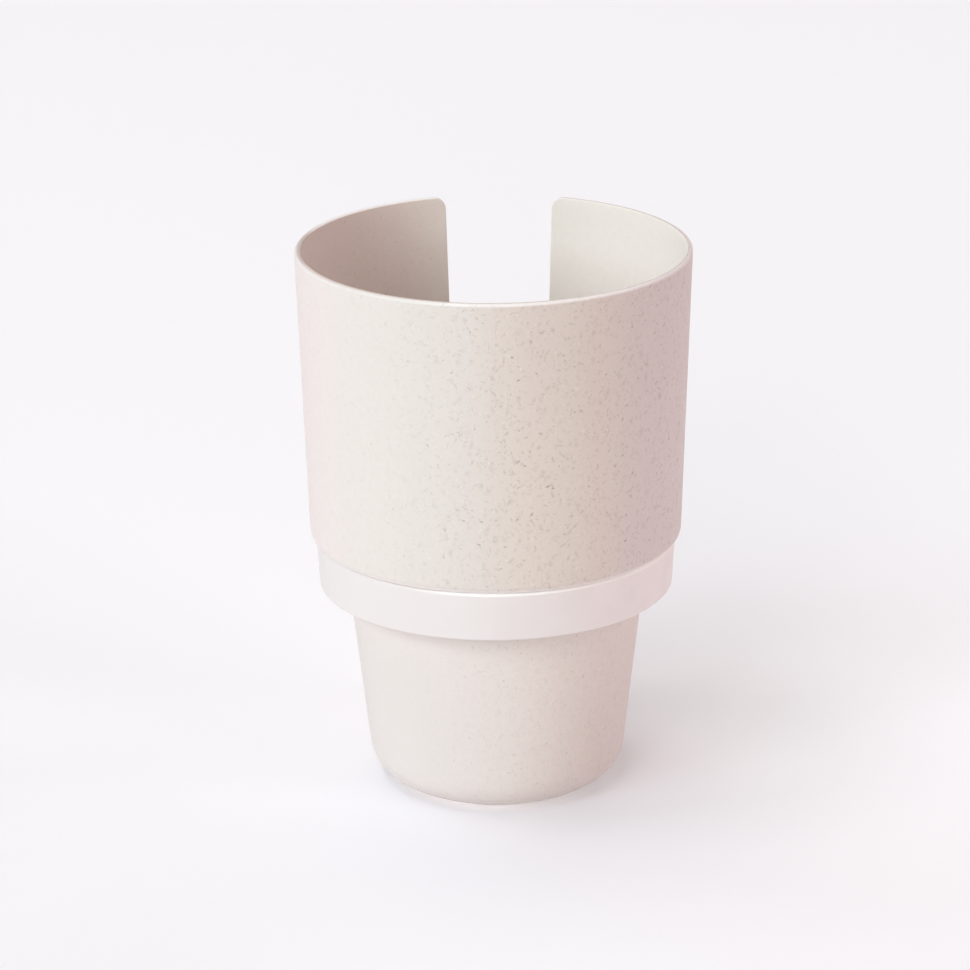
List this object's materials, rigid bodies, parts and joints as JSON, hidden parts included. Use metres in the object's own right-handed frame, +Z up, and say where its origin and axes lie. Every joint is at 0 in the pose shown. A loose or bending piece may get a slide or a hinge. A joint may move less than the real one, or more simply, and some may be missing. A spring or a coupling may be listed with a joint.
{
  "type": "car cup holder",
  "caption": "Stepped round drink holder: a wide upper cup with a handle slot, a soft ring round its neck, and a narrower tapered cup below that drops into a vehicle's cup well.",
  "frame": {"origin": "centre of the flat base, on the cups' common axis", "axes": "+Z up along the axis of both cups, +Y towards the handle slot, +X to the right when the side without the slot faces the viewer"},
  "size_m": [0.096, 0.094, 0.1357],
  "materials": {
    "speckled_plastic": "satin, off-white with short brown fibres",
    "pale_rubber": "plain satin, off-white"
  },
  "bodies": {
    "root": {"cup_body": "speckled_plastic", "shoulder_ring": "pale_rubber"}
  },
  "joints": []
}
